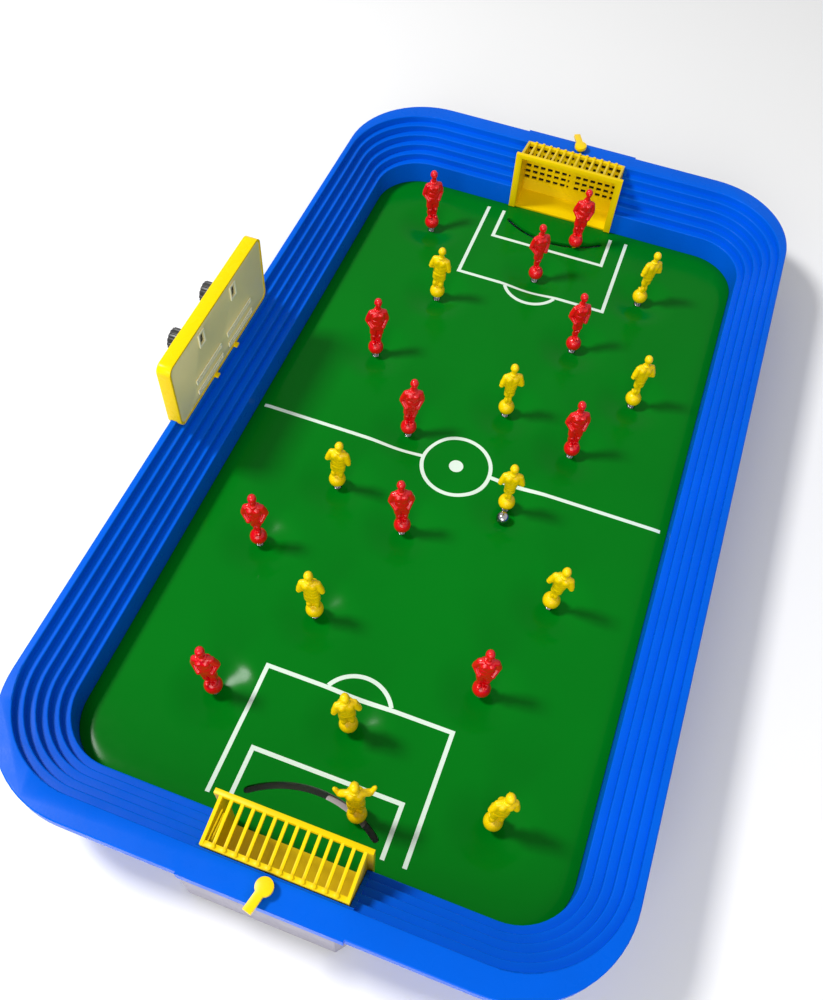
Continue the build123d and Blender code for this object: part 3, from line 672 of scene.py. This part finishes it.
# ------------------------------------------------------------------ figures
def surface_net(field, low, step):
    """Closed quad mesh round the negative part of a field sampled on a grid."""
    nx, ny, nz = (n - 1 for n in field.shape)
    total = np.zeros((nx, ny, nz, 3))
    count = np.zeros((nx, ny, nz))
    for a in [(i, j, k) for i in (0, 1) for j in (0, 1) for k in (0, 1)]:
        for axis in range(3):
            if a[axis]:
                continue
            b = list(a)
            b[axis] = 1
            fa = field[a[0]:a[0] + nx, a[1]:a[1] + ny, a[2]:a[2] + nz]
            fb = field[b[0]:b[0] + nx, b[1]:b[1] + ny, b[2]:b[2] + nz]
            cross = (fa < 0) != (fb < 0)
            t = np.where(cross, fa / np.where(cross, fa - fb, 1), 0)
            point = np.zeros((nx, ny, nz, 3)) + np.array(a, float)
            point[..., axis] += t
            total += np.where(cross[..., None], point, 0)
            count += cross
    active = count > 0
    index = -np.ones((nx, ny, nz), int)
    index[active] = np.arange(active.sum())
    verts = (total[active] / count[active][:, None] + np.argwhere(active)) * step + np.array(low)
    faces = []
    for axis in range(3):
        u, v = (axis + 1) % 3, (axis + 2) % 3
        first = [slice(None)] * 3
        second = [slice(None)] * 3
        first[axis] = slice(0, -1)
        second[axis] = slice(1, None)
        fa, fb = field[tuple(first)], field[tuple(second)]
        at = np.argwhere((fa < 0) != (fb < 0))
        limit = (nx, ny, nz)
        at = at[(at[:, u] > 0) & (at[:, v] > 0) & (at[:, u] < limit[u]) & (at[:, v] < limit[v])]
        ring = []
        for du, dv in ((-1, -1), (0, -1), (0, 0), (-1, 0)):
            c = at.copy()
            c[:, u] += du
            c[:, v] += dv
            ring.append(index[c[:, 0], c[:, 1], c[:, 2]])
        quads = np.stack(ring, 1)
        flip = fa[at[:, 0], at[:, 1], at[:, 2]] >= 0
        quads[flip] = quads[flip][:, ::-1]
        faces.append(quads)
    faces = np.vstack(faces)
    return verts, faces


def join(a, b, k):
    """Union of two fields with the crease filled by a radius of about k."""
    h = np.clip(0.5 + 0.5 * (b - a) / k, 0, 1)
    return b * (1 - h) + a * h - k * h * (1 - h)


class Clay:
    """Round forms joined in a field of signed distance, in millimetres."""

    def __init__(self, low, high, step):
        self.low, self.step = low, step
        axes = [np.arange(a, b + step, step) for a, b in zip(low, high)]
        self.p = np.stack(np.meshgrid(*axes, indexing="ij"), -1)
        self.field = np.full(self.p.shape[:3], 50.0)

    def rod(self, a, b, ra, rb):
        a, b = np.array(a, float), np.array(b, float)
        ab = b - a
        t = np.clip(((self.p - a) @ ab) / (ab @ ab), 0, 1)
        d = self.p - a - t[..., None] * ab
        return np.sqrt((d * d).sum(-1)) - (ra + t * (rb - ra))

    def egg(self, c, r, tilt=0.0, turn=0.0):
        d = self.p - np.array(c, float)
        if turn:
            s, k = math.sin(math.radians(turn)), math.cos(math.radians(turn))
            d = np.stack([d[..., 0] * k + d[..., 2] * s, d[..., 1], -d[..., 0] * s + d[..., 2] * k], -1)
        if tilt:
            s, k = math.sin(math.radians(tilt)), math.cos(math.radians(tilt))
            d = np.stack([d[..., 0], d[..., 1] * k + d[..., 2] * s, -d[..., 1] * s + d[..., 2] * k], -1)
        r = np.array(r, float)
        k0 = np.sqrt(((d / r) ** 2).sum(-1))
        k1 = np.sqrt(((d / (r * r)) ** 2).sum(-1))
        return np.where(k1 > 1e-6, k0 * (k0 - 1) / np.maximum(k1, 1e-6), -min(r))

    def add(self, form, k=0.4):
        self.field = join(self.field, form, k)

    def carve(self, form, k=0.3):
        self.field = -join(-self.field, form, k)

    def mesh(self):
        return surface_net(self.field, self.low, self.step)


def sculpt(arms_out=False, feet_together=False, socket=2.6, socket_top=-2.8):
    """A footballer on a ball, facing -Y, the ball's middle at the origin."""
    c = Clay((-12.5, -6.5, -5.6), (12.5, 6.5, 43.0), 0.34)
    z = c.p[..., 2]
    # ball underfoot
    c.field = c.egg((0, 0, 0), (4.9, 4.9, 4.9))
    # boots, shins, thighs
    gap, thin = (0.85, 0.72) if feet_together else (1.95, 1.0)
    slim = 0.8 if feet_together else 1.0
    for s in (-1, 1):
        c.add(c.egg((s * gap, -1.1, 4.9), (1.5 * thin, 2.5, 1.2), tilt=-14), 0.4)
        c.add(c.rod((s * gap, 0.4, 4.6), (s * gap * 1.05, 0.3, 9.6), 1.2 * thin, 1.4 * thin), 0.4)
        c.add(c.egg((s * gap * 1.05, 0.9, 8.0), (1.65 * thin, 1.75 * thin, 2.7)), 0.4)
        c.add(c.egg((s * gap, -1.0, 10.9), (1.5 * thin, 1.35 * thin, 1.3)), 0.4)
        c.add(c.rod((s * gap * 1.05, 0.1, 10.0), (s * 2.0 * slim, 0.1, 15.5), 1.6 * thin, 2.05 * slim), 0.35)
    # web of plastic that keeps the legs together
    c.add(c.rod((0, 0.4, 5.0), (0, 0.3, 14.0), 0.7, 1.0), 0.35)
    # shorts with a hem and a crease down the middle
    leg_out, leg_r = (1.35, 1.9) if feet_together else (2.1, 2.35)
    shorts = c.rod((-leg_out, 0.1, 13.4), (-leg_out, 0.1, 17.6), leg_r, leg_r)
    shorts = join(shorts, c.rod((leg_out, 0.1, 13.4), (leg_out, 0.1, 17.6), leg_r, leg_r), 0.3)
    shorts = join(shorts, c.egg((0, 0.2, 18.0), (3.8 * slim, 2.9, 2.5)), 0.9)
    shorts = np.maximum(shorts, 12.6 - z)
    c.add(shorts, 0.15)
    # shirt: waist, chest, shoulders
    shirt = c.egg((0, 0.0, 21.0), (4.3 * (0.4 + 0.6 * slim), 3.0, 4.8))
    shirt = join(shirt, c.egg((0, 0.0, 26.6), (4.9, 3.2, 5.8)), 1.4)
    shirt = join(shirt, c.rod((-3.0, 0.2, 30.6), (3.0, 0.2, 30.6), 1.9, 1.9), 1.2)
    for s in (-1, 1):
        shirt = join(shirt, c.egg((s * 1.8, -1.7, 28.9), (2.0, 1.7, 1.9)), 0.6)
        shirt = join(shirt, c.egg((s * 1.9, 1.9, 29.0), (2.0, 1.5, 2.6)), 0.6)
    shirt = np.maximum(shirt, 17.6 - z)
    c.add(shirt, 0.15)
    # folds over the waist and the line of the back
    for s, h in ((1, 20.2), (-1, 22.0), (1, 24.2), (-1, 25.8)):
        c.carve(c.rod((s * 4.6, -2.2, h + 0.8), (-s * 1.2, -3.6, h - 0.9), 0.70, 0.30), 0.5)
        c.carve(c.rod((s * 4.4, 2.6, h + 0.6), (-s * 1.2, 3.6, h - 0.8), 0.60, 0.25), 0.5)
    c.carve(c.rod((0, 3.9, 22.0), (0, 4.0, 30.0), 0.9, 1.0), 0.6)
    # arms
    for s in (-1, 1):
        if arms_out:
            points = [(s * 4.1, 0.1, 30.4), (s * 7.2, -0.6, 28.4), (s * 9.0, -1.6, 31.2)]
        else:
            points = [(s * 4.2, 0.2, 30.3), (s * 6.1, 1.0, 23.6), (s * 3.7, -2.3, 19.9)]
        shoulder, elbow, hand = (np.array(q) for q in points)
        sleeve = shoulder + (elbow - shoulder) * 0.72
        c.add(c.rod(shoulder, elbow, 1.6, 1.45), 0.45)
        c.add(c.rod(shoulder, sleeve, 1.8, 1.8), 0.15)
        c.add(c.rod(elbow, hand, 1.45, 1.1), 0.25)
        palm = (0.95, 0.8, 1.25) if arms_out else (1.3, 0.95, 1.1)
        c.add(c.egg(hand + (hand - elbow) / np.linalg.norm(hand - elbow) * 0.5, palm), 0.25)
        thumb = hand + np.array((-s * 0.8, -0.3, 0.5 if arms_out else 0.7))
        c.add(c.rod(hand, thumb, 0.5, 0.4), 0.25)
    # collar, neck, head
    c.add(c.rod((0, 0.35, 32.0), (0, 0.1, 35.8), 1.7, 1.45), 0.4)
    collar = np.hypot(np.hypot(c.p[..., 0], c.p[..., 1] - 0.2) - 1.9, z - 32.8 - 0.25 * c.p[..., 1]) - 0.5
    c.add(collar, 0.2)
    c.add(c.egg((0, 0.1, 38.4), (2.25, 2.45, 2.7)), 0.35)
    c.add(c.egg((0, -0.8, 37.0), (1.45, 1.5, 1.3)), 0.5)
    c.add(c.egg((0, -2.4, 37.9), (0.4, 0.45, 0.65), tilt=12), 0.3)
    for s in (-1, 1):
        c.add(c.egg((s * 2.15, 0.25, 38.0), (0.35, 0.6, 0.75)), 0.3)
        c.carve(c.egg((s * 0.88, -2.55, 38.5), (0.5, 0.42, 0.35)), 0.3)
    c.carve(c.egg((0, -2.55, 36.8), (0.75, 0.32, 0.15)), 0.15)
    # cap of hair, longer at the back
    c.add(c.egg((0, 0.5, 38.6), (2.25, 2.35, 2.55)), 0.6)
    # socket for the spring or pin
    r = np.hypot(c.p[..., 0], c.p[..., 1])
    c.carve(np.maximum(r - socket, z - socket_top), 0.1)
    return c.mesh()


def place(name, mesh, at, stance, body, slot):
    """One figure, its ball's middle at a point in millimetres, leaning and turned."""
    lean_x, lean_y, turn = (math.radians(a) for a in stance)
    piece = link(name, mesh)
    piece.matrix_world = (
        Matrix.Translation(Vector(at) * MM) @ Matrix.Rotation(-lean_y, 4, "X")
        @ Matrix.Rotation(lean_x, 4, "Y") @ Matrix.Rotation(turn, 4, "Z")
    )
    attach(piece, body)
    return piece


def coil(x, y):
    """A kick spring as a tube along a helix."""
    radius, wire, turns, sides = SPRING_R, SPRING_WIRE_R, 8, 8
    low, high = SPRING_BOTTOM + wire, SPRING_TOP - wire
    steps = turns * 20
    path = []
    for i in range(steps + 1):
        a = 2 * math.pi * turns * i / steps
        path.append(Vector((radius * math.cos(a), radius * math.sin(a), low + (high - low) * i / steps)))
    verts, faces = [], []
    for i, p in enumerate(path):
        ahead = (path[min(i + 1, steps)] - path[max(i - 1, 0)]).normalized()
        out = Vector((p.x, p.y, 0)).normalized()
        side = ahead.cross(out).normalized()
        for k in range(sides):
            b = 2 * math.pi * k / sides
            q = p + (out * math.cos(b) + side * math.sin(b)) * wire
            verts.append((q.x + x, q.y + y, q.z))
    for i in range(steps):
        for k in range(sides):
            m = (k + 1) % sides
            faces.append((i * sides + k, i * sides + m, (i + 1) * sides + m, (i + 1) * sides + k))
    faces.append([k for k in reversed(range(sides))])
    faces.append([steps * sides + k for k in range(sides)])
    return verts, faces


APART = sculpt()
TOGETHER = sculpt(feet_together=True)
KEEPER_OUT = sculpt(arms_out=True, socket=1.2, socket_top=-0.9)
KEEPER_IN = sculpt(socket=1.2, socket_top=-0.9)
for team, material, sign, facing in (("yellow", YELLOW, 1, 180), ("red", RED, -1, 0)):
    apart = mesh_of(f"{team}_apart", *APART, material)
    together = mesh_of(f"{team}_together", *TOGETHER, material)
    first = None
    for n, (x, y) in enumerate(PLACES, 1):
        x, y = sign * x, sign * y
        body = f"{team}_{n:02d}"
        lean_x, lean_y, turn = STANCES[team][n - 1]
        mesh = together if n in FEET_TOGETHER[team] else apart
        figure = place(f"{body}_look", mesh, (x, y, PITCH_TOP + BALL_UP), (lean_x, lean_y, facing + turn),
                       body, f"{team}_figure")
        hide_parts(f"{team}_player_{n:02d}")
        verts, faces = coil(x, y)
        spring = build(f"{body}_spring", verts, faces, WIRE, "stadium", "spring_steel")
        spring.parent = None
        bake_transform(spring, "stadium", body,
                 (x * MM, y * MM, SPRING_BOTTOM * MM), (x * MM, y * MM, SPRING_FREE * MM))
        first = first or spring
    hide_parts(f"{team}_springs")
# the keepers: shape, side, lever angle, then how each stands on its lever
for name, shape, material, side, angle, stance, body in (
    ("yellow_keeper", KEEPER_OUT, YELLOW, -1, NEAR_ANGLE, (-2, 1, 202), "near_keeper"),
    ("red_keeper", KEEPER_IN, RED, 1, 180 + FAR_ANGLE, (2, 6, 20), "far_keeper"),
):
    a = math.radians(angle)
    at = (-LEVER_R * math.sin(a), side * PIVOT_Y + LEVER_R * math.cos(a), PITCH_TOP + KEEPER_BALL_UP)
    mesh = mesh_of(name, *shape, material)
    keeper = place(f"{name}_look", mesh, at, stance, body, f"{name.split('_')[0]}_figure")
    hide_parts(name)

# ------------------------------------------------------------------ floor, light, camera
floor_mesh = bpy.data.meshes.new("floor")
floor_mesh.from_pydata([(-4, -4, 0), (4, -4, 0), (4, 4, 0), (-4, 4, 0)], [], [(0, 1, 2, 3)])
floor = link("floor", floor_mesh)
g = Graph("floor_white")
g.set(Roughness=0.9)
paper = g.ramp(g.noise(2.0), [(0.3, (0.95, 0.95, 0.95)), (0.7, (0.97, 0.97, 0.97))])
g.link(paper, g.shader.inputs["Base Color"])
floor_mesh.materials.append(g.material)


def lamp(name, at, to, size, watts):
    """A square white softbox, in metres and watts."""
    data = bpy.data.lights.new(name, "AREA")
    data.shape = "RECTANGLE"
    data.size = data.size_y = size
    data.energy = watts
    made = link(name, data)
    made.location = at
    made.rotation_euler = (Vector(to) - Vector(at)).to_track_quat("-Z", "Y").to_euler()


lamp("key", (-0.88, -0.16, 1.33), (0, 0, 0), 0.26, 18.2)
lamp("fill", (0.10, -1.60, 0.75), (0, 0, 0.02), 1.2, 18)

def studio_world():
    """Soft light all round, seen as plain white by the camera, in reflections and through glass."""
    world = bpy.data.worlds.new("studio")
    bpy.context.scene.world = world
    world.use_nodes = True
    tree = world.node_tree
    tree.nodes.clear()
    out = tree.nodes.new("ShaderNodeOutputWorld")
    mix = tree.nodes.new("ShaderNodeMixShader")
    for socket, strength in ((1, 0.36), (2, 1.0)):
        glow = tree.nodes.new("ShaderNodeBackground")
        glow.inputs["Color"].default_value = (1, 1, 1, 1)
        glow.inputs["Strength"].default_value = strength
        tree.links.new(glow.outputs[0], mix.inputs[socket])
    path = tree.nodes.new("ShaderNodeLightPath")
    seen = path.outputs["Is Camera Ray"]
    for kind in ("Is Glossy Ray", "Is Transmission Ray"):
        either = tree.nodes.new("ShaderNodeMath")
        either.operation = "MAXIMUM"
        tree.links.new(seen, either.inputs[0])
        tree.links.new(path.outputs[kind], either.inputs[1])
        seen = either.outputs[0]
    tree.links.new(seen, mix.inputs["Fac"])
    tree.links.new(mix.outputs[0], out.inputs["Surface"])


studio_world()

camera_data = bpy.data.cameras.new("camera")
camera_data.sensor_width = 36.0
camera_data.lens = 35.357
camera_data.clip_start = 0.01
camera = link("camera", camera_data)
forward = Vector((-0.15269281, 0.5235925, -0.83817409))
right = Vector((0.93842742, 0.34276917, 0.04316556))
up = right.cross(forward)
camera.matrix_world = Matrix((
    (right.x, up.x, -forward.x, 0.07102),
    (right.y, up.y, -forward.y, -0.33293),
    (right.z, up.z, -forward.z, 0.49886),
    (0, 0, 0, 1),
))
bpy.context.scene.camera = camera
bpy.context.scene.view_settings.view_transform = "Standard"
